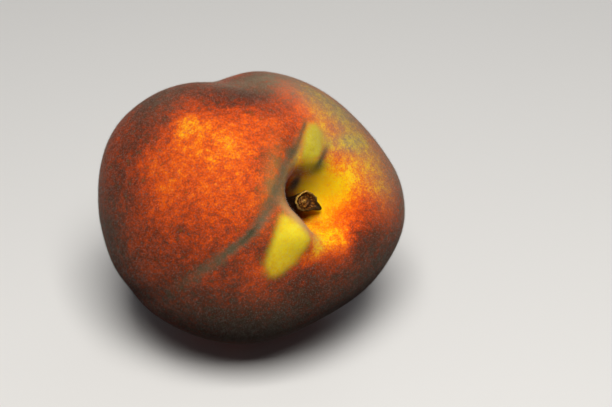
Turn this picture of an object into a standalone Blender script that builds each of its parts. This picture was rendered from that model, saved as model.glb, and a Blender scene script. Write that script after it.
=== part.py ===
"""A ripe peach lying on its side, with the broken stub of its stem in the stem cavity.

Metres, +Z up. The origin is the middle of the small flat spot the fruit rests on.
The skin is worked out in millimetres about the stem axis: a polar angle of 0 degrees is
the stem end and 180 the tip, and a bearing of 0 degrees is the side nearest +X.
"""

import math

import bmesh
import bpy
import numpy as np
from mathutils import Matrix, Vector

MM = 0.001

# How the fruit lies: the stem axis turned from -Y towards +X, and raised from the floor, in degrees.
STEM_TURN = 36.2
STEM_RISE = 32.5

# The body about its core, in millimetres.
HALF_WIDTH = 36.5
HALF_THICKNESS = 34.8
CORE_TO_SHOULDER = 34.8
CORE_TO_TIP = 35.6

# The resting spot below the core: how far down it is, and where its middle lies.
CORE_HEIGHT = 34.1
REST_X = -0.1
REST_Y = 2.2
CUTTER_SIZE = 0.12

# Hills and flats of the body: polar angle, bearing, spread (degrees), height (mm).
SWELLINGS = (
    (54, 0, 24, 2.1),  # the cheek right of the cavity
    (56, 36, 24, -1.4),  # the flat shoulder above it
    (66, 68, 24, -1.0),
    (80, 96, 24, -0.8),
    (108, 149, 24, 2.3),  # the far side of the large cheek
    (40, 160, 26, 0.8),  # the near side of the large cheek
    (103, 243, 24, -0.8),
    (90, 270, 24, -1.2),
    (75, 296, 24, -3.2),  # the flat under the right cheek
    (62, 325, 24, -0.4),
    (16.5, 239, 8, 2.1),  # the swollen lip of the pit, towards the front
    (17, 195, 7.5, -0.9),  # the low place in it
)

# The suture, from the tip over the back shoulder, past the cavity and down the front to the tip:
# polar angle, bearing (degrees), depth of the groove, half its width (mm).
SUTURE = (
    (150, 98, 0.3, 8.0),
    (120, 104, 1.2, 8.0),
    (94, 107, 2.3, 7.5),
    (72, 110, 2.2, 6.5),
    (54, 108, 2.0, 5.5),
    (40, 105, 1.6, 4.5),
    (29, 105, 1.0, 3.5),
    (22, 116, 0.5, 2.0),
    (18.5, 145, 0.4, 1.6),
    (19.5, 178, 0.4, 1.5),
    (26, 199, 0.35, 1.5),
    (35, 208.5, 0.35, 1.5),
    (48, 212.5, 0.35, 1.6),
    (66, 216, 0.4, 2.2),
    (85, 218, 0.4, 3.0),
    (120, 216, 0.5, 4.5),
    (160, 207, 0.3, 6.0),
)
MEAN_RADIUS = 34.0

# The stem cavity: its middle, a wide dish, and a narrow pit that leans under the large cheek, in
# millimetres. A rim is (mean radius, one-sided part, its bearing, two-sided part, its bearing).
CAVITY_X = -1.2
CAVITY_Y = -1.6
DISH_DEPTH = 4.5
DISH_RIM = (10.5, 3.5, 50, 2.5, 75)
PIT_DEPTH = 13.3
PIT_RIM = (6.1, 1.75, 18, 1.1, 147)
PIT_FLATNESS = 2.5
PIT_LEAN = -2.2

# The stub of the stem: where its foot stands in the pit (millimetres about the stem axis), how far it
# leans from that axis and towards which bearing (degrees), and its outline from the foot to the middle
# of the broken end: radius and height (mm), and the share of the splinter of bark that juts out there.
STEM_FOOT = (-2.75, -1.6, 18.2)
STEM_LEAN = 20
STEM_LEAN_BEARING = 18
STEM_OUTLINE = (
    (0.0, 0.0, 0.0),
    (1.1, 0.25, 0.0),
    (1.8, 1.2, 0.0),
    (1.9, 2.6, 0.0),
    (1.9, 4.2, 0.0),
    (2.0, 5.6, 0.05),
    (2.15, 6.8, 0.3),
    (2.34, 7.6, 0.7),
    (2.42, 8.1, 1.0),
    (2.2, 8.4, 0.85),
    (1.8, 7.95, 0.25),
    (0.85, 7.7, 0.0),
    (0.0, 7.95, 0.0),
)
BREAK_SLANT = 0.5
SPLINTER_BEARING = -45
SPLINTER_SPREAD = 14
SPLINTER_REACH = 0.76
STEM_RIBS = 5
RIB_HEIGHT = 0.04

# Grid of the fruit and of the stem.
SKIN_ROWS = 57
SKIN_COLUMNS = 60
STEM_COLUMNS = 32


def clear_scene():
    for obj in list(bpy.data.objects):
        bpy.data.objects.remove(obj, do_unlink=True)


def material(name, colour, roughness):
    made = bpy.data.materials.new(name)
    made.use_nodes = True
    shader = made.node_tree.nodes["Principled BSDF"]
    shader.inputs["Base Color"].default_value = (*colour, 1.0)
    shader.inputs["Roughness"].default_value = roughness
    shader.inputs["Metallic"].default_value = 0.0
    return made


def direction(polar, bearing):
    """Unit vectors about the stem axis, from angles in radians."""
    return np.stack(
        [np.sin(polar) * np.cos(bearing), np.sin(polar) * np.sin(bearing), np.cos(polar)], axis=-1
    )


def suture_course(steps=14):
    """The suture as closely set points: unit direction, groove depth and half-width, on a smooth curve."""
    knots = np.array(SUTURE, dtype=float)
    knots = np.hstack([direction(np.radians(knots[:, 0]), np.radians(knots[:, 1])), knots[:, 2:]])
    knots = np.vstack([2 * knots[0] - knots[1], knots, 2 * knots[-1] - knots[-2]])
    before, start, end, after = knots[:-3], knots[1:-2], knots[2:-1], knots[3:]
    t = np.linspace(0, 1, steps, endpoint=False)[:, None, None]
    curve = 0.5 * (
        2 * start
        + (end - before) * t
        + (2 * before - 5 * start + 4 * end - after) * t**2
        + (3 * start - before - 3 * end + after) * t**3
    )
    curve = curve.transpose(1, 0, 2).reshape(-1, 5)
    curve[:, :3] /= np.linalg.norm(curve[:, :3], axis=1, keepdims=True)
    return curve


def rim_radius(rim, bearing):
    """A rounded, lopsided rim: its mean radius plus a one-sided and a two-sided part."""
    mean, one, one_at, two, two_at = rim
    return (
        mean
        + one * np.cos(bearing - math.radians(one_at))
        + two * np.cos(2 * (bearing - math.radians(two_at)))
    )


def skin_points(polar, bearing):
    """Points of the skin in millimetres about the stem axis.

    An ellipsoid, higher or lower by each swelling, less the suture's groove; then the cavity
    lowers the points near the axis and draws the foot of the pit aside.
    """
    towards = direction(polar, bearing)
    length = np.where(towards[..., 2] > 0, CORE_TO_SHOULDER, CORE_TO_TIP)
    half = np.stack(
        [np.full_like(length, HALF_WIDTH), np.full_like(length, HALF_THICKNESS), length], axis=-1
    )
    radius = 1 / np.linalg.norm(towards / half, axis=-1)
    for at_polar, at_bearing, spread, height in SWELLINGS:
        middle = direction(math.radians(at_polar), math.radians(at_bearing))
        apart = np.degrees(np.arccos(np.clip(towards @ middle, -1, 1)))
        radius = radius + height * np.exp(-((apart / spread) ** 2))
    course = suture_course()
    nearness = towards @ course[:, :3].T
    nearest = nearness.argmax(axis=-1)
    apart = MEAN_RADIUS * np.arccos(np.clip(nearness.max(axis=-1), -1, 1))
    radius = radius - course[nearest, 3] * np.exp(-((apart / course[nearest, 4]) ** 2))
    points = towards * radius[..., None]
    across = points[..., 0] - CAVITY_X
    along = points[..., 1] - CAVITY_Y
    reach = np.hypot(across, along)
    round_it = np.arctan2(along, across)
    stem_side = towards[..., 2] > 0
    dish = np.exp(-((reach / rim_radius(DISH_RIM, round_it)) ** 2)) * stem_side
    pit = np.exp(-((reach / rim_radius(PIT_RIM, round_it)) ** PIT_FLATNESS)) * stem_side
    points[..., 2] -= DISH_DEPTH * dish + PIT_DEPTH * pit
    points[..., 0] += PIT_LEAN * pit
    return points


def shaped_ball(name, rows, columns, shape, surface):
    """A UV sphere whose points are moved: shape is given their polar angles and bearings, in radians."""
    ball = bmesh.new()
    bmesh.ops.create_uvsphere(ball, u_segments=columns, v_segments=rows, radius=1)
    mesh = bpy.data.meshes.new(name)
    ball.to_mesh(mesh)
    ball.free()
    at = np.empty(len(mesh.vertices) * 3, dtype=np.float32)
    mesh.vertices.foreach_get("co", at)
    at = at.reshape(-1, 3).astype(float)
    polar = np.arctan2(np.hypot(at[:, 0], at[:, 1]), at[:, 2])
    bearing = np.arctan2(at[:, 1], at[:, 0])
    mesh.vertices.foreach_set("co", (shape(polar, bearing) * MM).astype(np.float32).ravel())
    mesh.shade_smooth()
    mesh.materials.append(surface)
    obj = bpy.data.objects.new(name, mesh)
    bpy.context.scene.collection.objects.link(obj)
    return obj


def make_lie():
    """An empty at the core, its +Z along the stem axis and its +X towards the side nearest +X."""
    turn = math.radians(STEM_TURN)
    rise = math.radians(STEM_RISE)
    axis = Vector(
        (math.sin(turn) * math.cos(rise), -math.cos(turn) * math.cos(rise), math.sin(rise))
    )
    side = (Vector((1, 0, 0)) - axis.x * axis).normalized()
    lie = bpy.data.objects.new("lie_of_the_fruit", None)
    turned = Matrix((side, axis.cross(side), axis)).transposed().to_4x4()
    lie.matrix_world = Matrix.Translation(Vector((-REST_X, -REST_Y, CORE_HEIGHT)) * MM) @ turned
    bpy.context.scene.collection.objects.link(lie)
    return lie


def make_floor_cutter():
    """A block whose top is the floor. It presses the flat spot into the fruit."""
    block = bmesh.new()
    bmesh.ops.create_cube(block, size=CUTTER_SIZE)
    mesh = bpy.data.meshes.new("floor_cutter")
    block.to_mesh(mesh)
    block.free()
    cutter = bpy.data.objects.new("floor_cutter", mesh)
    cutter.location.z = -CUTTER_SIZE / 2
    cutter.hide_render = True
    cutter.display_type = "WIRE"
    bpy.context.scene.collection.objects.link(cutter)
    return cutter


def make_fruit(lie, cutter):
    """Flesh and skin as one solid, its rows set closer together towards the cavity."""

    def shape(polar, bearing):
        down = polar / math.pi
        return skin_points(math.pi * (0.35 * down + 0.65 * down**1.8), bearing)

    skin = material("peach_skin", (0.66, 0.16, 0.04), 0.7)
    fruit = shaped_ball("fruit", SKIN_ROWS, SKIN_COLUMNS, shape, skin)
    fruit.parent = lie
    flat_spot = fruit.modifiers.new("flat_spot", "BOOLEAN")
    flat_spot.operation = "DIFFERENCE"
    flat_spot.object = cutter


def stem_points(polar, bearing):
    """The stub standing on its foot: the outline turned about its axis, with ribs of bark, a splinter
    at one side, and a broken end that slants up towards bearing 0."""
    outline = np.array(STEM_OUTLINE)
    row = np.rint((1 - polar / math.pi) * (len(outline) - 1)).astype(int)
    radius, height, splinter = outline[row].T
    off = (bearing - math.radians(SPLINTER_BEARING) + math.pi) % (2 * math.pi) - math.pi
    juts = splinter * np.exp(-((off / math.radians(SPLINTER_SPREAD)) ** 2))
    reach = radius * (1 + RIB_HEIGHT * np.cos(STEM_RIBS * bearing) + SPLINTER_REACH * juts)
    across = reach * np.cos(bearing)
    raised = (height / outline[:, 1].max()) ** 4
    return np.stack([across, reach * np.sin(bearing), height + BREAK_SLANT * across * raised], axis=-1)


def make_stem(lie):
    """The dried stub of the stem, its foot about 0.4 mm clear of the bottom of the pit."""
    bark = material("stem_bark", (0.13, 0.06, 0.025), 0.85)
    stem = shaped_ball("stem", len(STEM_OUTLINE) - 1, STEM_COLUMNS, stem_points, bark)
    stem.parent = lie
    stem.location = Vector(STEM_FOOT) * MM
    stem.rotation_euler = (0, math.radians(STEM_LEAN), math.radians(STEM_LEAN_BEARING))


def main():
    clear_scene()
    lie = make_lie()
    make_fruit(lie, make_floor_cutter())
    make_stem(lie)


main()
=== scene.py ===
import math

import bpy
import numpy as np
from mathutils import Euler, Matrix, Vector


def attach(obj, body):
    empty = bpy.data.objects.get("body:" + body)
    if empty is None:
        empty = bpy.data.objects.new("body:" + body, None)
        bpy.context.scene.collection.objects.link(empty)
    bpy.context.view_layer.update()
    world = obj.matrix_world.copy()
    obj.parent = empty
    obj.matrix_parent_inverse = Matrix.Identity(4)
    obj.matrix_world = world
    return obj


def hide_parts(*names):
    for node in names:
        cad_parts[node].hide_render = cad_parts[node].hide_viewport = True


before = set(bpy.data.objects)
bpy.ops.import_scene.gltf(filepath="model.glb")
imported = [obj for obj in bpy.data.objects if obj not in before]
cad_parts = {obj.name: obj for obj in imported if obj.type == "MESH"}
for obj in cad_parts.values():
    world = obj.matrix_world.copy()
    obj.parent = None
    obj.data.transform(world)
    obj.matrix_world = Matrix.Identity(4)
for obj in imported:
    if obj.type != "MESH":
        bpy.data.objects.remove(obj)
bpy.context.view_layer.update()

# ---------------------------------------------------------------------------------------------
# The fruit: one ripe peach, flesh and thin downy skin grown as one body, a cheek on each side of
# a suture and a cavity round the stem. It lies on its side on the flat spot its weight presses.
# ---------------------------------------------------------------------------------------------

MM = 0.001

# How it lies: the stem axis turned from -Y towards +X and raised from the floor, in degrees, and
# the core the skin is measured from, in millimetres.
STEM_TURN = math.radians(36.2)
STEM_RISE = math.radians(32.5)
CORE = np.array((0.1, -2.2, 34.1))

# The body about its core, in millimetres.
HALF_WIDTH = 36.5
HALF_THICKNESS = 34.8
CORE_TO_SHOULDER = 34.8
CORE_TO_TIP = 35.6

# Hills and flats: polar angle, bearing, spread (degrees), height (mm).
SWELLINGS = (
    (54, 0, 24, 2.1),
    (56, 36, 24, -1.4),
    (66, 68, 24, -1.0),
    (80, 96, 24, -0.8),
    (108, 149, 24, 2.3),
    (40, 160, 26, 0.8),
    (103, 243, 24, -0.8),
    (90, 270, 24, -1.2),
    (75, 296, 24, -3.2),
    (62, 325, 24, -0.4),
    (16.5, 239, 8, 2.1),
    (17, 195, 7.5, -0.9),
)

# The suture from the tip over the back shoulder, past the cavity and down the front: polar angle,
# bearing (degrees), groove depth and half-width (mm), then how plainly its grey-green line shows
# and that line's half-width (mm).
SUTURE = (
    (150, 98, 0.3, 8.0, 0.00, 2.0),
    (120, 104, 1.2, 8.0, 0.05, 2.0),
    (94, 107, 2.3, 7.5, 0.10, 2.0),
    (72, 110, 2.2, 6.5, 0.15, 2.0),
    (54, 108, 2.0, 5.5, 0.10, 1.5),
    (40, 105, 1.6, 4.5, 0.10, 1.2),
    (29, 105, 1.0, 3.5, 0.10, 0.9),
    (22, 116, 0.5, 2.0, 0.65, 1.2),
    (18.5, 145, 0.4, 1.6, 0.85, 1.8),
    (19.5, 178, 0.4, 1.5, 0.80, 1.9),
    (26, 199, 0.35, 1.5, 0.85, 1.5),
    (35, 208.5, 0.35, 1.5, 1.00, 1.3),
    (48, 212.5, 0.35, 1.6, 0.85, 1.6),
    (66, 216, 0.4, 2.2, 0.50, 2.2),
    (85, 218, 0.4, 3.0, 0.15, 2.5),
    (120, 216, 0.5, 4.5, 0.05, 3.0),
    (160, 207, 0.3, 6.0, 0.00, 3.0),
)
MEAN_RADIUS = 34.0

# The stem cavity: its middle, a wide dish, and a narrow pit that leans under the large cheek (mm).
# A rim is (mean radius, one-sided part, its bearing, two-sided part, its bearing).
CAVITY_MIDDLE = (-1.2, -1.6)
DISH_DEPTH = 4.5
DISH_RIM = (10.5, 3.5, 50, 2.5, 75)
PIT_DEPTH = 13.3
PIT_RIM = (6.1, 1.75, 18, 1.1, 147)
PIT_FLATNESS = 2.5
PIT_LEAN = -2.2

SKIN_ROWS = 290
SKIN_COLUMNS = 336


def direction(polar, bearing):
    """Unit vectors about the stem axis: (sin p cos b, sin p sin b, cos p), angles in radians."""
    return np.stack(
        [np.sin(polar) * np.cos(bearing), np.sin(polar) * np.sin(bearing), np.cos(polar)], axis=-1
    )


def smooth_curve(knots, place):
    """A Catmull-Rom curve through the knots, read off at these places, counted in knots."""
    knots = np.array(knots, dtype=float)
    index = place.astype(int)
    t = (place - index)[:, None]
    knots = np.vstack([2 * knots[0] - knots[1], knots, 2 * knots[-1] - knots[-2]])
    before, start, end, after = (knots[index + k] for k in range(4))
    return 0.5 * (
        2 * start
        + (end - before) * t
        + (2 * before - 5 * start + 4 * end - after) * t**2
        + (3 * start - before - 3 * end + after) * t**3
    )


def suture_course(steps=16):
    """A curve through the suture's knots: a unit direction and the four values after it."""
    knots = np.array(SUTURE, dtype=float)
    knots = np.hstack([direction(np.radians(knots[:, 0]), np.radians(knots[:, 1])), knots[:, 2:]])
    curve = smooth_curve(knots, np.arange((len(knots) - 1) * steps) / steps)
    curve[:, :3] /= np.linalg.norm(curve[:, :3], axis=1, keepdims=True)
    return curve


def rim_radius(rim, bearing):
    """A lopsided ring: mean + one * cos(bearing - one_at) + two * cos(2 * (bearing - two_at))."""
    mean, one, one_at, two, two_at = rim
    return (
        mean
        + one * np.cos(bearing - math.radians(one_at))
        + two * np.cos(2 * (bearing - math.radians(two_at)))
    )


def bells_on_ball(towards, rows):
    """The sum of height * exp(-(angle from the bell's middle / spread) ** 2) over the rows, each
    (polar angle, bearing, spread, height) with its angles in degrees."""
    total = 0.0
    for polar, bearing, spread, height in rows:
        middle = direction(math.radians(polar), math.radians(bearing))
        apart = np.degrees(np.arccos(np.clip(towards @ middle, -1, 1)))
        total = total + height * np.exp(-((apart / spread) ** 2))
    return total


def skin_surface(polar, bearing):
    """Skin points in millimetres about the stem axis, with the fields its colours are drawn from.

    An ellipsoid's radius, plus a bell for each swelling, less a bell across the suture; then the
    dish and the pit, two flat-topped bells, lower the points and lean the foot of the pit aside.
    """
    towards = direction(polar, bearing)
    length = np.where(towards[..., 2] > 0, CORE_TO_SHOULDER, CORE_TO_TIP)
    half = np.stack(
        [np.full_like(length, HALF_WIDTH), np.full_like(length, HALF_THICKNESS), length], axis=-1
    )
    radius = 1 / np.linalg.norm(towards / half, axis=-1)
    radius = radius + bells_on_ball(towards, SWELLINGS)
    course = suture_course()
    nearness = towards @ course[:, :3].T
    nearest = nearness.argmax(axis=-1)
    apart = MEAN_RADIUS * np.arccos(np.clip(nearness.max(axis=-1), -1, 1))
    radius = radius - course[nearest, 3] * np.exp(-((apart / course[nearest, 4]) ** 2))
    points = towards * radius[..., None]
    across = points[..., 0] - CAVITY_MIDDLE[0]
    along = points[..., 1] - CAVITY_MIDDLE[1]
    reach = np.hypot(across, along)
    round_it = np.arctan2(along, across)
    stem_side = towards[..., 2] > 0
    dish = np.exp(-((reach / rim_radius(DISH_RIM, round_it)) ** 2)) * stem_side
    pit = np.exp(-((reach / rim_radius(PIT_RIM, round_it)) ** PIT_FLATNESS)) * stem_side
    line = course[nearest, 5] * np.exp(-((apart / course[nearest, 6]) ** 2))
    points[..., 2] -= DISH_DEPTH * dish + PIT_DEPTH * pit
    points[..., 0] += PIT_LEAN * pit
    return points, {"towards": towards, "plan": points[..., :2].copy(), "pit": pit, "line": line}


def as_it_lies(points):
    """Turns points about the stem axis, in millimetres, to how the fruit lies, in metres."""
    axis = np.array(
        (
            math.sin(STEM_TURN) * math.cos(STEM_RISE),
            -math.cos(STEM_TURN) * math.cos(STEM_RISE),
            math.sin(STEM_RISE),
        )
    )
    side = np.array((1.0, 0.0, 0.0)) - axis[0] * axis
    side /= np.linalg.norm(side)
    turned = np.stack([side, np.cross(axis, side), axis])
    return (points @ turned + CORE) * MM


def closed_skin(name, top, grid, bottom):
    """A mesh from rings of points (rows, columns, 3) between two end points, closed at both ends.

    Each ring is joined to the next by quads, and the end points to their rings by fans.
    """
    rows, columns = grid.shape[:2]
    at = np.vstack([grid.reshape(-1, 3), top, bottom])
    here = np.arange(columns)
    beside = (here + 1) % columns
    down = np.arange(rows - 1)[:, None] * columns
    quads = np.stack(
        [down + here, down + columns + here, down + columns + beside, down + beside], axis=-1
    ).reshape(-1, 4)
    last = (rows - 1) * columns
    crown = np.stack([np.full(columns, rows * columns), here, beside], axis=-1)
    foot = np.stack([np.full(columns, rows * columns + 1), last + beside, last + here], axis=-1)
    faces = quads.tolist() + crown.tolist() + foot.tolist()
    mesh = bpy.data.meshes.new(name)
    mesh.from_pydata(at.tolist(), [], faces)
    mesh.update()
    mesh.shade_smooth()
    obj = bpy.data.objects.new(name, mesh)
    bpy.context.scene.collection.objects.link(obj)
    return obj


def set_field(obj, name, grid, ends=(0.0, 0.0)):
    """Stores one number per point, as a named field that a material can read."""
    values = np.append(grid.ravel(), ends).astype(np.float32)
    obj.data.attributes.new(name, "FLOAT", "POINT").data.foreach_set("value", values)


def soft_patches(plan, rows):
    """The sum of height * exp(-(squared distance) ** flatness) over the rows, each a soft ellipse
    on the plan of the stem end: (x, y, long, wide in mm, turn in degrees, flatness, height)."""
    total = 0.0
    for x, y, long, wide, turn, flatness, height in rows:
        across = plan[..., 0] - x
        along = plan[..., 1] - y
        cos, sin = math.cos(math.radians(turn)), math.sin(math.radians(turn))
        lengthways = (across * cos + along * sin) / long
        sideways = (along * cos - across * sin) / wide
        total = total + height * np.exp(-((lengthways**2 + sideways**2) ** flatness))
    return total


def leaf_shadow(plan, corners, softness):
    """Rises from 0 outside an outline to 1 inside it, as 1 / (1 + exp(-d / softness)), where d is
    the distance in from the nearest side's line (the corners go anticlockwise)."""
    corners = np.array(corners, dtype=float)
    sides = np.roll(corners, -1, axis=0) - corners
    inward = np.stack([-sides[:, 1], sides[:, 0]], axis=-1)
    inward /= np.linalg.norm(inward, axis=-1, keepdims=True)
    distance = ((plan[..., None, :] - corners) * inward).sum(axis=-1).min(axis=-1)
    return 1 / (1 + np.exp(-np.clip(distance / softness, -30, 30)))


# Rows stand closer together towards the cavity, where the shape turns fastest.
down = (np.arange(SKIN_ROWS) + 0.7) / (SKIN_ROWS + 0.4)
polar = (math.pi * (0.35 * down + 0.65 * down**1.8))[:, None]
bearing = np.linspace(0, 2 * math.pi, SKIN_COLUMNS, endpoint=False)[None, :]
skin, fields = skin_surface(*np.broadcast_arrays(polar, bearing))

# The skin is never quite even: gentle swells, 9 to 22 mm long and a tenth of a millimetre high.
SWELL_HEIGHT = 0.16
rng = np.random.default_rng(7)
waves = rng.normal(size=(9, 3))
waves *= (2 * math.pi / rng.uniform(9, 22, 9) / np.linalg.norm(waves, axis=1))[:, None]
swell = np.cos(skin @ waves.T + rng.uniform(0, 6.3, 9)).mean(axis=-1)
skin = skin + SWELL_HEIGHT * swell[..., None] * fields["towards"]

stem_end, _ = skin_surface(np.array([0.0]), np.array([0.0]))
tip, _ = skin_surface(np.array([math.pi]), np.array([0.0]))
lying = as_it_lies(skin)
# The flat spot: heights under about a tenth of a millimetre run smoothly into the floor.
FLAT_SPOT_BLEND = 0.08 * MM
lying[..., 2] = 0.5 * (lying[..., 2] + np.sqrt(lying[..., 2] ** 2 + FLAT_SPOT_BLEND**2))
fruit = closed_skin("peach_fruit", as_it_lies(stem_end), lying, as_it_lies(tip))

# Streaks run from the stem to the tip: a place (mm) that changes less along each meridian, by this
# many times, than across it.
STREAK_LENGTH = 3.5
meridian = MEAN_RADIUS * np.stack(
    np.broadcast_arrays(np.cos(bearing), np.sin(bearing), polar / STREAK_LENGTH), axis=-1
).reshape(-1, 3)
ends = [(0, 0, 0), (0, 0, MEAN_RADIUS * math.pi / STREAK_LENGTH)]
meridian = np.vstack([meridian, ends]).astype(np.float32)
streak_places = fruit.data.attributes.new("meridian", "FLOAT_VECTOR", "POINT")
streak_places.data.foreach_set("vector", meridian.ravel())

# How red the skin is: 0 the yellow-green ground, 0.3 orange, 0.6 red, 1 maroon. It starts from one
# value all over, and each patch (row for bells_on_ball) shifts it.
BLUSH = 0.78
BLUSH_PATCHES = (
    # the large cheek
    (42, 162, 24, -0.26),
    (61, 148, 6, -0.34),
    (43, 150, 5.5, -0.14),
    (36, 157, 4.5, -0.08),
    (52, 146, 4.5, -0.10),
    (71, 166, 6, -0.08),
    (62, 170, 9, -0.03),
    (66, 178, 9, -0.05),
    (54, 130, 9, 0.05),
    (74, 146, 8, 0.06),
    (52, 117, 7, 0.06),
    (86, 174, 14, 0.08),
    (88, 136, 14, 0.12),
    (64, 108, 12, 0.04),
    (58, 176, 16, -0.14),
    (36, 120, 10, -0.10),
    (92, 160, 16, 0.02),
    (80, 156, 7, 0.06),
    (78, 168, 7, 0.03),
    (86, 144, 7, 0.06),
    (66, 98, 12, 0.25),
    (72, 128, 9, 0.10),
    (62, 126, 7, 0.08),
    (54, 116, 9, 0.12),
    (44, 104, 9, 0.08),
    (50, 178, 14, 0.08),
    # below the suture
    (70, 196, 16, -0.06),
    (38, 192, 14, -0.06),
    (34, 222, 7, 0.10),
    (62, 198, 18, 0.06),
    # under the cavity
    (24, 286, 12, -0.08),
    (68, 250, 18, 0.10),
    (44, 238, 8, -0.14),
    (62, 240, 24, 0.06),
    (74, 254, 22, 0.14),
    (36, 266, 11, 0.16),
    (38, 231, 5, -0.22),
    (22, 309, 5, 0.04),
    (17, 308, 5, -0.06),
    (62, 300, 24, 0.10),
    # the right cheek and its shoulder
    (22, 30, 16, -0.22),
    (40, 60, 17, -0.37),
    (54, 76, 16, -0.34),
    (36, 24, 16, -0.24),
    (30, 8, 9, -0.10),
    (46, 330, 10, 0.08),
    (35, 354, 7, -0.15),
    # the far side and the tip
    (100, 60, 38, -0.34),
    (150, 150, 34, -0.22),
    (124, 52, 24, -0.16),
    (138, 335, 22, -0.20),
    (124, 112, 13, -0.14),
    (150, 230, 20, 0.10),
    (95, 194, 14, 0.12),
    (98, 132, 14, 0.07),
)
# The far wall of the cavity: yellow beside the stem, orange below, olive above, and an orange ridge
# (rows for soft_patches).
CAVITY_BLUSH = (
    (4.8, 0.9, 7.3, 5.6, 60, 1.6, -0.46),
    (2.5, 1.0, 3.5, 3.5, 0, 1.2, -0.12),
    (4.2, -8.0, 6.2, 4.4, 118, 1.6, -0.44),
    (3.2, -4.8, 3.4, 2.2, 160, 1.0, 0.20),
    (-0.2, -8.4, 4.2, 2.4, 115, 1.2, -0.28),
    (-1.4, -11.0, 2.5, 1.4, 118, 1.0, -0.20),
    (9.5, 13.2, 7.5, 2.0, 8, 1.2, -0.24),
    (-1.5, -11.2, 4.6, 1.6, 118, 1.0, -0.20),
    (-2.0, -14.2, 5.0, 2.0, 45, 1.0, -0.26),
    (-4.2, -13.6, 3.4, 1.5, 55, 1.0, -0.14),
    (10.0, -5.8, 3.4, 2.6, 60, 1.0, -0.10),
    (13.4, 6.0, 3.6, 3.0, 100, 1.0, -0.05),
    (-1.0, 4.8, 4.8, 3.4, 20, 1.5, -0.50),
    (3.4, 13.5, 5.0, 1.8, 95, 1.0, -0.26),
    (-1.0, 7.6, 4.0, 1.5, 5, 1.2, -0.40),
    (-5.0, 9.5, 4.0, 1.2, 70, 1.0, -0.34),
    (1.4, 20.0, 4.0, 2.6, 90, 1.0, -0.10),
    (12.0, -11.5, 6.0, 5.0, 0, 1.0, 0.16),
    (-14.6, -11.0, 4.5, 1.2, 80, 1.0, -0.10),
    (-1.6, 20.5, 6.0, 1.3, 104, 1.0, -0.06),
    (-6.5, 7.5, 4.0, 1.3, 60, 1.0, -0.18),
)
towards, plan = fields["towards"], fields["plan"]
stem_side = towards[..., 2] > 0
blush = BLUSH + bells_on_ball(towards, BLUSH_PATCHES) + soft_patches(plan, CAVITY_BLUSH) * stem_side

# Where a leaf lay over the stem end the skin never turned red: two patches, outlined anticlockwise
# on the plan of the stem end (mm), with soft edges, and paler at the pit than at the far tip.
LEAF_SHADE_BELOW = (
    (-9.8, -4.7),
    (-10.9, -5.2),
    (-11.5, -7.0),
    (-12.0, -9.0),
    (-12.6, -12.0),
    (-12.9, -14.6),
    (-12.6, -16.6),
    (-11.2, -18.2),
    (-9.9, -18.4),
    (-8.6, -17.4),
    (-7.2, -16.2),
    (-6.0, -14.7),
    (-4.9, -12.8),
    (-3.9, -11.1),
    (-3.6, -9.8),
    (-4.2, -8.4),
    (-5.6, -7.0),
    (-7.8, -5.4),
)
LEAF_SHADE_ABOVE = (
    (-4.3, 8.4),
    (-3.0, 7.8),
    (-0.7, 8.0),
    (1.2, 9.3),
    (2.3, 11.4),
    (2.8, 13.5),
    (2.5, 15.5),
    (1.2, 17.2),
    (-0.6, 17.0),
    (-1.9, 15.4),
    (-3.1, 12.8),
    (-3.9, 10.4),
)
leaf_shade = leaf_shadow(plan, LEAF_SHADE_BELOW, 0.45) * stem_side
leaf_shade_above = leaf_shadow(plan, LEAF_SHADE_ABOVE, 0.42) * stem_side
# The lower patch turns from lemon to gold between these two places along it (mm).
GOLD_FROM = -9.5
GOLD_FULL = -18.0
tip_gold = np.clip((GOLD_FROM - plan[..., 1]) / (GOLD_FROM - GOLD_FULL), 0, 1) * stem_side

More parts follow.
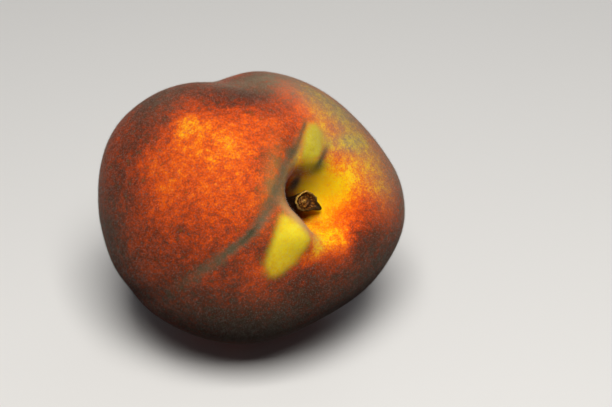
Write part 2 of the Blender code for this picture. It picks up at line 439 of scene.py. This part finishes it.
# Marks near the stem, each a sum of soft patches (rows for soft_patches).
MARKS = {
    "fringe": (  # the olive fringe of the suture
        (-12.6, 2.8, 8.5, 2.6, 78, 1.0, 0.62),
        (-9.0, 1.8, 6.5, 1.5, 80, 1.0, 0.60),
        (-6.2, 7.8, 4.0, 1.5, 58, 1.0, 0.60),
        (-4.9, 10.4, 3.6, 1.0, 70, 1.0, 0.60),
        (2.8, 14.0, 3.5, 1.6, 95, 1.0, 0.30),
    ),
    # Olive skin darkened by painted shade, high on the far wall of the cavity where it turns from
    # the light.
    "olive_and_painted_shade": (  # the green shade high on the far wall of the cavity
        (-1.0, 6.4, 3.6, 1.5, 5, 1.5, 0.42),
        (0.8, 5.4, 3.4, 2.2, 12, 1.0, 0.24),
        (-4.8, 4.8, 2.4, 1.6, 50, 1.0, 0.50),
        (-1.0, 7.5, 3.4, 0.9, 5, 1.0, 0.20),
        (1.9, 8.8, 3.2, 1.9, 65, 1.0, 0.26),
        (2.0, 7.2, 2.4, 1.2, 35, 1.0, 0.22),
    ),
    "lip_tan": (  # the tan edge of the near lip
        (-6.3, -5.6, 6.0, 1.3, 137, 1.0, 0.85),
        (-2.2, -6.9, 2.4, 1.2, 120, 1.0, 0.35),
    ),
    # Painted shadow, brown, under the stem, and a little painted shade high in the cavity.
    "painted_brown_shadow": (  # the brown shade under the stem
        (1.2, -3.6, 3.4, 1.5, 165, 1.2, 0.26),
        (2.3, -4.9, 2.8, 1.7, 140, 1.0, 0.20),
        (-2.6, 6.6, 2.2, 1.2, 30, 1.0, 0.12),
    ),
    "scuff": (  # dark rubs beside the upper leaf patch and on the suture
        (1.9, 9.3, 2.3, 0.75, 62, 1.0, 0.78),
        (1.2, 7.8, 1.1, 0.9, 40, 1.0, 0.42),
        (3.1, 11.4, 1.6, 0.8, 52, 1.0, 0.35),
        (-1.7, 16.6, 1.5, 0.45, 62, 1.0, 0.80),
        (0.1, 18.3, 1.3, 0.5, 10, 1.0, 0.30),
        (-6.4, 9.9, 3.0, 1.05, 60, 1.0, 0.75),
        (-4.2, 12.7, 2.4, 0.5, 62, 1.0, 0.55),
        (-2.9, 15.0, 1.8, 0.4, 66, 1.0, 0.45),
        (-12.4, -2.6, 2.6, 1.0, 50, 1.0, 0.35),
        (-16.8, -8.2, 1.2, 0.55, 40, 1.0, 0.75),
        (-15.8, -6.8, 0.7, 0.4, 30, 1.0, 0.45),
        (-17.6, -9.9, 2.2, 0.6, 47, 1.0, 0.80),
        (-21.0, -13.4, 3.4, 0.7, 50, 1.0, 0.45),
    ),
    # the blue-grey scar behind the stem
    "pit_scar": ((-1.8, 3.7, 2.1, 1.0, 125, 1.5, 0.9),),
}
# Painted shade: the foot of the pit is darkened.
painted_pit_shade = np.clip((fields["pit"] - 0.56) / 0.32, 0, 1) ** 1.3

# Down lies thick and grey on the shoulders and low on the cheeks (rows for bells_on_ball), and thin
# on the sheltered far wall of the cavity. Where it lies thick it is partly painted sheen.
DOWN_AND_SHEEN_PATCHES = (
    (52, 56, 17, 0.66),
    (34, 66, 12, 0.30),
    (68, 84, 12, 0.40),
    (46, 84, 9, 0.30),
    (62, 98, 12, 0.35),
    (56, 78, 12, 0.20),
    (70, 112, 10, 0.34),
    (80, 138, 12, 0.06),
    (60, 20, 20, 0.38),
    (40, 14, 14, 0.16),
    (54, 335, 16, 0.22),
    (46, 14, 16, 0.20),
    (32, 16, 12, 0.16),
    (60, 96, 14, 0.08),
    (74, 84, 14, 0.15),
    (72, 275, 24, 0.22),
    (96, 190, 18, 0.11),
    (86, 132, 14, 0.12),
    (82, 222, 18, 0.08),
    (64, 252, 26, 0.18),
    (46, 310, 18, 0.20),
)
DUSTY_RIDGE = (9, 12.4, 8, 3, 0, 1.2, 0.30)
SHELTERED_WALL = (4.5, -2.5, 8.5, 9.5, 0, 1.5, 1.0)
DUSTINESS = 0.03
sheltered = soft_patches(plan, [SHELTERED_WALL]) * stem_side
ridge = soft_patches(plan, [DUSTY_RIDGE]) * stem_side
down_and_sheen = DUSTINESS + ridge - 0.10 * sheltered + bells_on_ball(towards, DOWN_AND_SHEEN_PATCHES)

# The yellow beside the stem is the evenest part of the skin; the two cheeks are livelier.
CALM_WALL = (3.6, 0.0, 6.0, 6.5, 0, 1.6, 0.6)
LIVELY_CHEEKS = ((50, 152, 24, -0.18), (34, 14, 18, -0.06))
calm = soft_patches(plan, [CALM_WALL]) * stem_side + bells_on_ball(towards, LIVELY_CHEEKS)

set_field(fruit, "blush", blush, (BLUSH - 0.4, BLUSH))
set_field(fruit, "leaf_shade", leaf_shade)
set_field(fruit, "leaf_shade_above", leaf_shade_above)
set_field(fruit, "tip_gold", tip_gold)
set_field(fruit, "suture_line", np.clip(fields["line"], 0, 1))
set_field(fruit, "painted_pit_shade", painted_pit_shade, (1.0, 0.0))
set_field(fruit, "calm", calm)
set_field(fruit, "down_and_sheen", np.clip(down_and_sheen, -0.1, 1))
for mark, rows in MARKS.items():
    set_field(fruit, mark, np.clip(soft_patches(plan, rows) * stem_side, 0, 1))


def add_node(tree, kind, inputs=(), **settings):
    """One shader node with its settings, and its inputs set to a value or linked from a socket."""
    made = tree.nodes.new(kind)
    for name, value in settings.items():
        setattr(made, name, value)
    for name, value in dict(inputs).items():
        if isinstance(value, bpy.types.NodeSocket):
            tree.links.new(value, made.inputs[name])
        else:
            made.inputs[name].default_value = value
    return made


def reckon(tree, operation, first, second=0.0, third=0.0):
    """The output of a Math node."""
    return add_node(
        tree, "ShaderNodeMath", {0: first, 1: second, 2: third}, operation=operation
    ).outputs[0]


def blend_in(tree, share, under, over):
    """The colour over, a socket or (red, green, blue), laid on the colour under by that share."""
    if not isinstance(over, bpy.types.NodeSocket):
        over = (*over, 1.0)
    return add_node(
        tree, "ShaderNodeMix", {0: share, 6: under, 7: over}, data_type="RGBA"
    ).outputs[2]


def stretch(tree, value, low, high, top=1.0):
    """Values from low to high stretched to 0 to top, and held at both ends."""
    return add_node(
        tree,
        "ShaderNodeMapRange",
        {"Value": value, "From Min": low, "From Max": high, "To Max": top},
    ).outputs["Result"]


def held(tree, value):
    """The value held between 0 and 1."""
    return add_node(tree, "ShaderNodeClamp", {"Value": value}).outputs["Result"]


def field_of(tree, name):
    """A number stored on the piece's points."""
    return add_node(tree, "ShaderNodeAttribute", attribute_name=name).outputs["Fac"]


def mottle(tree, where, scale, detail, roughness):
    """Noise about 0, from -0.5 to 0.5."""
    made = add_node(
        tree,
        "ShaderNodeTexNoise",
        {"Vector": where, "Scale": scale, "Detail": detail, "Roughness": roughness},
    )
    return reckon(tree, "SUBTRACT", made.outputs["Fac"], 0.5)


def colour_scale(tree, place, stops):
    """A Color Ramp through these (position, red, green, blue) stops."""
    made = add_node(tree, "ShaderNodeValToRGB", {"Fac": place})
    elements = made.color_ramp.elements
    while len(elements) < len(stops):
        elements.new(0.5)
    for element, (at, red, green, blue) in zip(elements, stops):
        element.position = at
        element.color = (red, green, blue, 1.0)
    return made.outputs["Color"]


def shader_of(name, **constants):
    """A new material, its node tree and its Principled shader with these constant values."""
    made = bpy.data.materials.new(name)
    made.use_nodes = True
    shader = made.node_tree.nodes["Principled BSDF"]
    for socket, value in constants.items():
        shader.inputs[socket.replace("_", " ")].default_value = value
    return made, made.node_tree, shader


# Skin from lemon ground through orange and red to maroon.
SKIN_COLOURS = (
    (0.00, 1.00, 0.67, 0.009),
    (0.12, 1.00, 0.59, 0.005),
    (0.27, 0.97, 0.315, 0.004),
    (0.42, 0.88, 0.138, 0.004),
    (0.56, 0.72, 0.078, 0.005),
    (0.70, 0.45, 0.050, 0.006),
    (0.85, 0.20, 0.029, 0.009),
    (1.00, 0.075, 0.018, 0.011),
)

peach_skin, tree, skin_shader = shader_of(
    "peach_skin",
    Roughness=0.7,
    Specular_IOR_Level=0.05,
    Sheen_Weight=0.12,
    Sheen_Roughness=0.35,
    Sheen_Tint=(0.90, 0.80, 0.68, 1.0),
    Subsurface_Weight=0.08,
    Subsurface_Radius=(1.0, 0.35, 0.15),
    Subsurface_Scale=0.002,
)
where = add_node(tree, "ShaderNodeTexCoord").outputs["Object"]
along = add_node(tree, "ShaderNodeAttribute", attribute_name="meridian").outputs["Vector"]
# Mottling at four scales, and the streaks, make the redness uneven, less so where it is calm.
grains = mottle(tree, where, 2300, 2, 0.8)
fine = mottle(tree, where, 620, 3, 0.7)
coarse = mottle(tree, where, 230, 3, 0.6)
wide = mottle(tree, where, 70, 2, 0.5)
streaks = mottle(tree, along, 1.5, 3, 0.7)
uneven = reckon(tree, "MULTIPLY", grains, 0.78)
for noise, amount in ((fine, 0.66), (coarse, 0.34), (wide, 0.18), (streaks, 0.25)):
    uneven = reckon(tree, "MULTIPLY_ADD", noise, amount, uneven)
evenness = reckon(tree, "MULTIPLY_ADD", field_of(tree, "calm"), -1.0, 1.0)
redness = reckon(tree, "MULTIPLY_ADD", uneven, evenness, field_of(tree, "blush"))
skin_colour = colour_scale(tree, redness, SKIN_COLOURS)
gold = reckon(tree, "MULTIPLY_ADD", field_of(tree, "tip_gold"), -0.38, 0.72)
gold = reckon(tree, "MULTIPLY_ADD", grains, 0.8, gold)
gold = reckon(tree, "MULTIPLY_ADD", streaks, 0.5, gold)
shade_ground = colour_scale(
    tree,
    reckon(tree, "MULTIPLY_ADD", fine, 0.9, gold),
    (
        (0.0, 0.74, 0.37, 0.006),
        (0.35, 0.86, 0.56, 0.008),
        (0.65, 0.92, 0.69, 0.016),
        (1.0, 0.95, 0.80, 0.04),
    ),
)
olive_ground = colour_scale(
    tree,
    reckon(tree, "MULTIPLY_ADD", grains, 0.7, reckon(tree, "MULTIPLY_ADD", fine, 0.9, 0.44)),
    ((0.1, 0.44, 0.31, 0.010), (0.5, 0.62, 0.50, 0.020), (0.9, 0.76, 0.65, 0.05)),
)
for field, ground in (("leaf_shade", shade_ground), ("leaf_shade_above", olive_ground)):
    share = reckon(tree, "MULTIPLY_ADD", fine, 0.4, field_of(tree, field))
    skin_colour = blend_in(tree, stretch(tree, share, 0.05, 0.95), skin_colour, ground)
# The fringe comes in blots, and the edges of the suture's line are ragged.
blots = reckon(tree, "MULTIPLY_ADD", fine, 1.6, 0.86)
blots = held(tree, reckon(tree, "MULTIPLY_ADD", coarse, 2.2, blots))
fringe_share = reckon(tree, "MULTIPLY", field_of(tree, "fringe"), blots)
line_share = reckon(tree, "MULTIPLY_ADD", coarse, 0.4, field_of(tree, "suture_line"))
line_share = reckon(tree, "MULTIPLY_ADD", fine, 0.7, line_share)
for share, mark_colour in (
    # painted shadow under the stem, and painted shade high in the cavity
    (field_of(tree, "painted_brown_shadow"), (0.115, 0.035, 0.006)),
    (fringe_share, (0.33, 0.225, 0.060)),
    # olive skin with painted shade on the far wall of the cavity
    (field_of(tree, "olive_and_painted_shade"), (0.135, 0.102, 0.005)),
    (field_of(tree, "lip_tan"), (0.70, 0.43, 0.17)),
    (stretch(tree, line_share, 0.2, 1.0, 0.86), (0.150, 0.130, 0.072)),
    (field_of(tree, "scuff"), (0.050, 0.052, 0.025)),
    # painted shade at the foot of the pit
    (field_of(tree, "painted_pit_shade"), (0.012, 0.007, 0.004)),
    (field_of(tree, "pit_scar"), (0.026, 0.052, 0.070)),
):
    skin_colour = blend_in(tree, share, skin_colour, mark_colour)
# Tufts of down catch the light as fine pale specks.
tufts = stretch(tree, grains, 0.03, 0.25, 0.9)
patchy = reckon(tree, "MULTIPLY_ADD", grains, 1.8, reckon(tree, "MULTIPLY_ADD", fine, 1.6, 1.0))
# Grey down over the skin, partly painted sheen on the shoulders and low on the cheeks.
down_and_sheen_share = reckon(tree, "MULTIPLY", field_of(tree, "down_and_sheen"), patchy)
down_and_sheen_share = reckon(tree, "MULTIPLY_ADD", tufts, 0.14, down_and_sheen_share)
skin_colour = blend_in(tree, down_and_sheen_share, skin_colour, (0.245, 0.205, 0.13))
tree.links.new(skin_colour, skin_shader.inputs["Base Color"])
down_bump = add_node(
    tree, "ShaderNodeBump", {"Strength": 0.25, "Distance": 0.3 * MM, "Height": grains}
)
tree.links.new(down_bump.outputs["Normal"], skin_shader.inputs["Normal"])
fruit.data.materials.append(peach_skin)

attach(fruit, "root")
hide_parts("fruit")

# ---------------------------------------------------------------------------------------------
# The down: pale hairs all over the skin, three coats of short ones and one of longer ones, each a
# fine tapering needle rooted in the skin and leaning a little towards the tip.
# ---------------------------------------------------------------------------------------------

DOWN_COATS = (
    # name, how many; shortest, longest, half thickness (mm); least, most lean (degrees); seed
    ("peach_down_a", 49000, 0.16, 0.32, 0.014, 20, 65, 11),
    ("peach_down_b", 49000, 0.16, 0.36, 0.014, 20, 65, 12),
    ("peach_down_c", 49000, 0.20, 0.44, 0.013, 20, 60, 13),
    ("peach_down_d", 49000, 0.30, 0.65, 0.011, 15, 60, 14),
)
DOWN_COMBED = 0.45


def hairs_on(surface, chance, count, shortest, longest, half, least_lean, most_lean, seed):
    """Needles on a skin given as a grid of points, closed in its second direction, in metres.

    A cell is drawn with a chance in proportion to its area, and a root is a random point of it. A
    needle's direction is the skin's normal, leant by a random angle towards a random side mixed
    with the down-grid direction. Returns the points (hair, 4, 3): three round the root, one tip.
    """
    draw = np.random.default_rng(seed)
    beside = np.roll(surface, -1, axis=1)
    corner, right = surface[:-1], beside[:-1]
    below, across = surface[1:], beside[1:]
    normal = np.cross(across - corner, right - below)
    area = np.linalg.norm(normal, axis=-1)
    normal /= np.maximum(area, 1e-12)[..., None]
    likely = (area * chance[:-1]).ravel()
    cell = draw.choice(likely.size, count, p=likely / likely.sum())
    u, v = draw.random((2, count, 1))
    corner, right, below, across, normal = (
        each.reshape(-1, 3)[cell] for each in (corner, right, below, across, normal)
    )
    root = corner * (1 - u) * (1 - v) + right * u * (1 - v) + below * (1 - u) * v + across * u * v
    combed = below - corner
    combed /= np.linalg.norm(combed, axis=-1, keepdims=True)
    other = np.cross(normal, combed)
    spun = draw.uniform(0, 2 * math.pi, (count, 1))
    aside = np.cos(spun) * combed + np.sin(spun) * other + DOWN_COMBED * combed
    aside /= np.linalg.norm(aside, axis=-1, keepdims=True)
    lean = np.radians(draw.uniform(least_lean, most_lean, (count, 1)))
    along = np.cos(lean) * normal + np.sin(lean) * aside
    length = draw.uniform(shortest, longest, (count, 1)) * MM
    first = np.cross(along, other)
    first /= np.linalg.norm(first, axis=-1, keepdims=True)
    second = np.cross(along, first)
    thick = half * MM * draw.uniform(0.8, 1.2, (count, 1))
    # The root is sunk a little into the skin.
    root = root - along * 0.02 * MM
    ring = [
        root + thick * (math.cos(turn) * first + math.sin(turn) * second)
        for turn in (0, 2 * math.pi / 3, 4 * math.pi / 3)
    ]
    return np.stack([*ring, root + along * length], axis=1)


down_colour, tree, down_shader = shader_of(
    "down_hair", Roughness=0.6, Specular_IOR_Level=0.3, Subsurface_Weight=0.0
)
# Across the map goes each hair's own tone, and up it the way from root to tip.
hair_map = add_node(tree, "ShaderNodeUVMap", uv_map="OFBake").outputs["UV"]
place = add_node(tree, "ShaderNodeSeparateXYZ", {"Vector": hair_map})
own_tone = reckon(tree, "MULTIPLY", place.outputs["X"], 0.6)
hair_tone = colour_scale(
    tree,
    reckon(tree, "MULTIPLY_ADD", place.outputs["Y"], 0.4, own_tone),
    ((0.0, 0.26, 0.21, 0.16), (0.5, 0.46, 0.41, 0.34), (1.0, 0.66, 0.62, 0.55)),
)
tree.links.new(hair_tone, down_shader.inputs["Base Color"])

# Hairs stand everywhere but on the flat spot and the skin just above it; they thin out on the far
# wall of the cavity and towards the foot of the pit.
BARE_HEIGHT = 0.6 * MM
chance = np.clip((lying[..., 2] - BARE_HEIGHT) / MM, 0, 1)
chance *= (1 - 0.8 * painted_pit_shade) * (1 - 0.6 * sheltered)
for coat, count, shortest, longest, half, least_lean, most_lean, seed in DOWN_COATS:
    hairs = hairs_on(lying, chance, count, shortest, longest, half, least_lean, most_lean, seed)
    # A hair whose end would reach the floor is left out.
    hairs = hairs[hairs[:, 3, 2] > 0.1 * MM]
    each = np.arange(len(hairs))[:, None, None] * 4
    faces = (each + np.array([(0, 1, 3), (1, 2, 3), (2, 0, 3), (0, 2, 1)])).reshape(-1, 3)
    mesh = bpy.data.meshes.new(coat)
    mesh.from_pydata(hairs.reshape(-1, 3).tolist(), [], faces.tolist())
    mesh.update()
    mesh.shade_smooth()
    tone = np.random.default_rng(seed + 50).uniform(0.03, 0.97, len(hairs))[:, None, None]
    side = np.array([(-0.02, 0.02), (0.02, 0.02), (0.0, 0.98)])
    cap = np.array([(-0.02, 0.0), (0.02, 0.0), (0.0, 0.02)])
    corners = np.concatenate([side, side, side, cap])[None]
    corners = corners + np.concatenate([tone, 0 * tone], axis=-1)
    mesh.uv_layers.new(name="OFBake").data.foreach_set("uv", corners.astype(np.float32).ravel())
    mesh.materials.append(down_colour)
    down = bpy.data.objects.new(coat, mesh)
    bpy.context.scene.collection.objects.link(down)
    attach(down, "root")

# ---------------------------------------------------------------------------------------------
# The stem: a dry woody stub in the pit, snapped off when the fruit was picked. Ribbed brown bark
# stands as a lip round the ringed broken end, and a splinter of it juts out at one side.
# ---------------------------------------------------------------------------------------------

STEM_FOOT = np.array((-2.75, -1.6, 18.2))
STEM_LEAN = math.radians(20)
STEM_LEAN_BEARING = math.radians(18)

# Outline from the foot to the middle of the broken end: radius, height (mm), share of the splinter.
STEM_OUTLINE = (
    (0.5, 0.05, 0.0),
    (1.1, 0.25, 0.0),
    (1.5, 0.6, 0.0),
    (1.8, 1.2, 0.0),
    (1.88, 2.6, 0.0),
    (1.9, 4.2, 0.0),
    (2.0, 5.6, 0.05),
    (2.15, 6.8, 0.3),
    (2.34, 7.6, 0.7),
    (2.42, 8.1, 1.0),
    (2.34, 8.4, 1.0),
    (2.16, 8.48, 0.8),
    (1.99, 8.32, 0.5),
    (1.84, 7.94, 0.25),
    (1.62, 7.66, 0.1),
    (1.38, 7.66, 0.0),
    (1.16, 7.78, 0.0),
    (0.96, 7.66, 0.0),
    (0.75, 7.56, 0.0),
    (0.56, 7.7, 0.0),
    (0.38, 7.92, 0.0),
    (0.2, 7.94, 0.0),
    (0.08, 7.86, 0.0),
)
STEM_HEIGHT = 8.3
BREAK_SLANT = 0.5
SPLINTER_BEARING = math.radians(-45)
SPLINTER_SPREAD = math.radians(14)
SPLINTER_REACH = 0.76
# The bearing round the stem of the painted highlight on the broken end.
PAINTED_HIGHLIGHT_BEARING = math.radians(105)
STEM_ROWS = 190
STEM_COLUMNS = 160

profile = smooth_curve(STEM_OUTLINE, np.linspace(0, len(STEM_OUTLINE) - 1.001, STEM_ROWS))
radius, height, splinter = (column[:, None] for column in profile.T)
around = np.linspace(0, 2 * math.pi, STEM_COLUMNS, endpoint=False)[None, :]
off = (around - SPLINTER_BEARING + math.pi) % (2 * math.pi) - math.pi
juts = np.clip(splinter, 0, 1) * np.exp(-((off / SPLINTER_SPREAD) ** 2))
bark_side = 1 / (1 + np.exp(-(radius - 1.9) / 0.08))
rings = np.arange(STEM_ROWS)[:, None] / STEM_ROWS
# Five broad ribs run up the bark, with finer ones on them that twist a little.
ribs = (
    0.040 * np.cos(5 * around)
    + 0.018 * np.cos(11 * around + 1.3 + 0.5 * height)
    + 0.012 * np.cos(23 * around + 0.7 - 0.9 * height)
    + 0.010 * np.cos(3 * around + 2.6 * height)
)
reach = radius * (1 + ribs * (0.25 + 0.75 * bark_side) + SPLINTER_REACH * juts)
# The lip is torn, so it rises and falls round the end, and the end slants up to one side.
torn = (
    0.088 * np.cos(3 * around + 0.6)
    + 0.056 * np.cos(7 * around + 2.0)
    + 0.040 * np.cos(12 * around)
)
raised = np.clip(height / STEM_HEIGHT, 0, 1.02) ** 4
across = reach * np.cos(around)
tall = height + raised * (BREAK_SLANT * across + torn * np.clip(radius / 2.0, 0, 1) ** 3)
stub = np.stack([across, reach * np.sin(around), np.broadcast_to(tall, reach.shape)], axis=-1)
foot = np.array([(0.0, 0.0, 0.0)])
pith = np.array([(0.0, 0.0, float(tall[-1].mean()) - 0.02)])


def in_the_pit(points):
    """Stands points of the stem on its foot: leaned about Y, turned about Z, moved to the foot."""
    turned = np.array(Euler((0, STEM_LEAN, STEM_LEAN_BEARING)).to_matrix())
    return as_it_lies(points @ turned.T + STEM_FOOT)


# Rings run from the broken end down to the foot, so that the faces point outwards.
stem = closed_skin("peach_stem", in_the_pit(pith), in_the_pit(stub[::-1]), in_the_pit(foot))


def band(at, width):
    """A ring of the broken end: exp(-((radius - at) / width) ** 2), in millimetres."""
    return np.exp(-(((radius - at) / width) ** 2))


# Fresh wood shows on the broken end, in rings: a golden lip, a dark hollow inside it, then a faint
# ring and the pale pith. The lip and the rings are brightest on one side: a painted highlight.
END_FACE_FROM = 0.56  # share of the rows, counted from the foot, at the inside of the lip
end_face = 1 / (1 + np.exp(-((rings - END_FACE_FROM) / 0.01)))
# Painted highlight: how much of it each side of the end gets, most at its bearing.
painted_highlight_side = (0.5 + 0.5 * np.cos(around - PAINTED_HIGHLIGHT_BEARING)) ** 2
lip = band(2.2, 0.17) * (height > 7.9) * (0.05 + 0.95 * painted_highlight_side)
on_the_break = height > 7.4
ring = (0.10 * band(1.16, 0.25) + 0.6 * band(0.25, 0.25)) * on_the_break * (0.25 + 0.75 * painted_highlight_side)
hollow = band(1.5, 0.20) * on_the_break
even = np.ones_like(reach)
set_field(stem, "end_face", (end_face * even)[::-1], (1.0, 0.0))
set_field(stem, "lip", (lip * (1 - 0.7 * juts) * even)[::-1])
set_field(stem, "ring", (ring * even)[::-1], (0.4, 0.0))
set_field(stem, "hollow", (hollow * even)[::-1])

stem_bark, tree, bark_shader = shader_of(
    "stem_bark", Roughness=0.42, Specular_IOR_Level=0.14, Specular_Tint=(1.0, 0.80, 0.50, 1.0)
)
where = add_node(tree, "ShaderNodeTexCoord").outputs["Object"]
grain = mottle(tree, where, 1500, 4, 0.7)
flecks = mottle(tree, where, 2200, 3, 0.7)
bark_colour = colour_scale(
    tree,
    reckon(tree, "MULTIPLY_ADD", grain, 1.2, 0.5),
    ((0.2, 0.004, 0.002, 0.001), (0.5, 0.014, 0.006, 0.003), (0.8, 0.055, 0.022, 0.008)),
)
wood_colour = colour_scale(
    tree,
    reckon(tree, "MULTIPLY_ADD", flecks, 1.8, 0.5),
    ((0.2, 0.010, 0.003, 0.002), (0.5, 0.075, 0.020, 0.004), (0.8, 0.42, 0.16, 0.020)),
)
stem_colour = blend_in(tree, field_of(tree, "end_face"), bark_colour, wood_colour)
broken = reckon(tree, "MULTIPLY_ADD", flecks, 2.5, 0.7)
for field, tone in (
    ("hollow", (0.012, 0.004, 0.002)),
    ("ring", (0.80, 0.48, 0.10)),
    ("lip", (0.98, 0.56, 0.10)),
):
    share = held(tree, reckon(tree, "MULTIPLY", field_of(tree, field), broken))
    stem_colour = blend_in(tree, share, stem_colour, tone)
tree.links.new(stem_colour, bark_shader.inputs["Base Color"])
rough_wood = add_node(
    tree, "ShaderNodeBump", {"Strength": 0.6, "Distance": 0.2 * MM, "Height": grain}
)
tree.links.new(rough_wood.outputs["Normal"], bark_shader.inputs["Normal"])
stem.data.materials.append(stem_bark)

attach(stem, "root")
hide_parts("stem")

# ---------------------------------------------------------------------------------------------
# The stand: a plain pale floor under soft studio light. A large soft lamp hangs high in front, a
# weak one behind, and the camera looks down at the fruit at 33 degrees.
# ---------------------------------------------------------------------------------------------

FLOOR_SIDE = 4.0
floor_mesh = bpy.data.meshes.new("studio_floor")
corner = FLOOR_SIDE / 2
floor_mesh.from_pydata(
    [(-corner, -corner, 0), (corner, -corner, 0), (corner, corner, 0), (-corner, corner, 0)],
    [],
    [(0, 1, 2, 3)],
)
floor = bpy.data.objects.new("studio_floor", floor_mesh)
bpy.context.scene.collection.objects.link(floor)
floor_paint, tree, floor_shader = shader_of("floor_paint", Roughness=0.9, Specular_IOR_Level=0.2)
floor_shader.inputs["Base Color"].default_value = (0.80, 0.80, 0.79, 1.0)
floor.data.materials.append(floor_paint)
# The floor is lit and shadowed, but sends no light up under the fruit.
floor.visible_diffuse = False
floor.visible_glossy = False

middle = Vector(CORE * MM)


def soft_lamp(name, towards, distance, width, depth, power, colour):
    """An area lamp that far off in that direction from the core, aimed at it."""
    lamp = bpy.data.lights.new(name, "AREA")
    lamp.shape = "RECTANGLE"
    lamp.size = width
    lamp.size_y = depth
    lamp.energy = power
    lamp.color = colour
    obj = bpy.data.objects.new(name, lamp)
    back = Vector(towards).normalized()
    obj.location = middle + back * distance
    obj.rotation_euler = (-back).to_track_quat("-Z", "Y").to_euler()
    bpy.context.scene.collection.objects.link(obj)


soft_lamp("key_lamp", (0.05, -0.46, 0.88), 0.8, 0.40, 0.35, 7.3, (1.0, 0.97, 0.93))
soft_lamp("back_lamp", (0.5, 0.8, 0.75), 0.9, 0.5, 0.4, 0.35, (0.92, 0.96, 1.0))

room = bpy.data.worlds.new("studio_room")
room.use_nodes = True
room.node_tree.nodes["Background"].inputs["Color"].default_value = (0.9, 0.93, 1.0, 1.0)
room.node_tree.nodes["Background"].inputs["Strength"].default_value = 0.06
bpy.context.scene.world = room
bpy.context.scene.view_settings.view_transform = "Standard"

# The camera stands straight in front of the core and is turned a little aside, so that the fruit
# stands left of the middle of the frame.
CAMERA_DROP = math.radians(33)
CAMERA_DISTANCE = 0.4167
AIM_RIGHT = 0.0136
AIM_UP = 0.0009
up = Vector((0, math.sin(CAMERA_DROP), math.cos(CAMERA_DROP)))
towards_camera = Vector((0, -math.cos(CAMERA_DROP), math.sin(CAMERA_DROP)))
lens = bpy.data.cameras.new("studio_camera")
lens.lens = 100
lens.sensor_width = 36
lens.clip_start = 0.01
lens.clip_end = 20
camera = bpy.data.objects.new("studio_camera", lens)
camera.location = middle + CAMERA_DISTANCE * towards_camera
aim = middle + Vector((AIM_RIGHT, 0, 0)) + AIM_UP * up - camera.location
camera.rotation_euler = aim.to_track_quat("-Z", "Y").to_euler()
bpy.context.scene.collection.objects.link(camera)
bpy.context.scene.camera = camera
